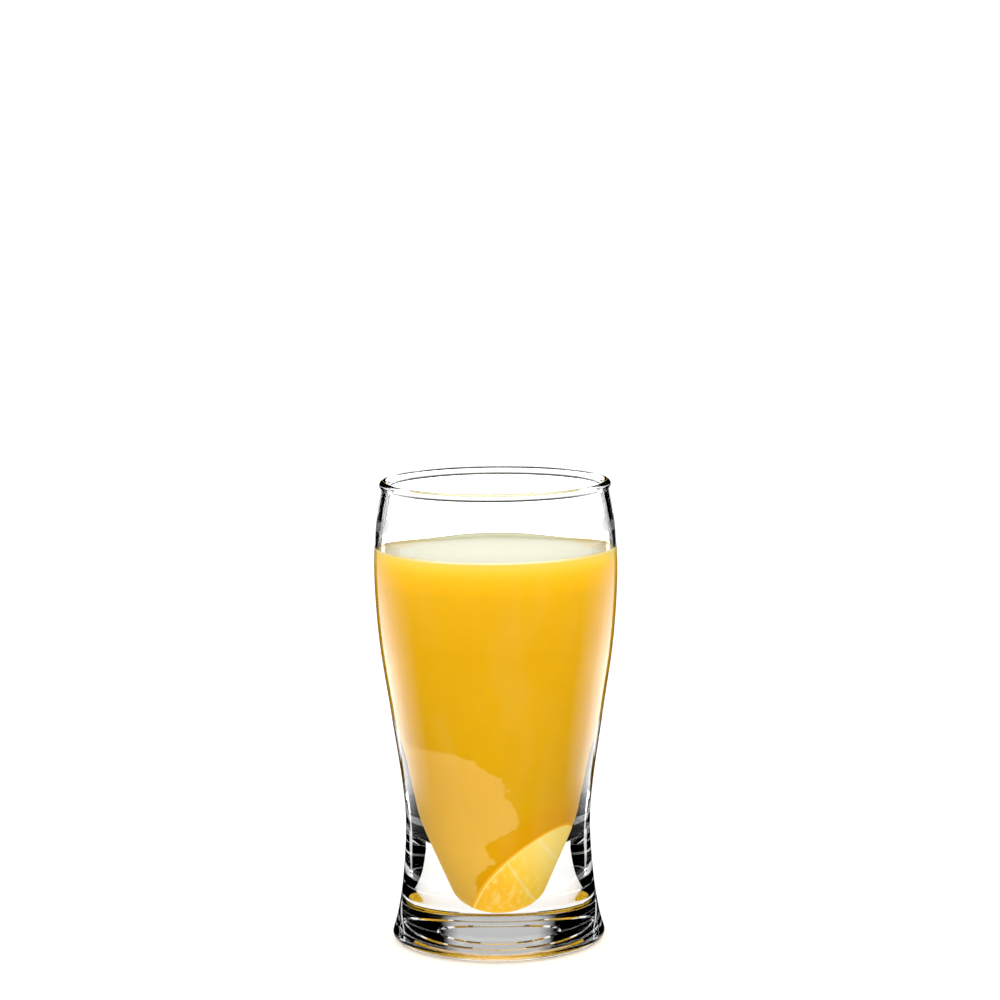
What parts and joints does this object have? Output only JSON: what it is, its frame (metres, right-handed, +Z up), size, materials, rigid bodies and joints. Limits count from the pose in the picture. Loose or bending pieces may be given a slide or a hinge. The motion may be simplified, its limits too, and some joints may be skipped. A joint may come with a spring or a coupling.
{
  "type": "mango smoothie",
  "caption": "Mango smoothie in a clear tulip pint glass with a thick solid base, with a wedge of yellow fruit sunk at the bottom.",
  "frame": {"origin": "centre of the glass's foot, on the surface it stands on", "axes": "+Z up along the glass's axis; the viewer of the picture stands at -Y, with +X to the right"},
  "size_m": [0.0836, 0.0836, 0.16],
  "materials": {
    "glass": "clear, polished",
    "smoothie": "opaque golden yellow liquid, wet",
    "fruit": "juicy yellow flesh with a deeper yellow rind"
  },
  "bodies": {
    "root": {"glass": "glass", "smoothie": "smoothie", "fruit_wedge": "fruit"}
  },
  "joints": []
}
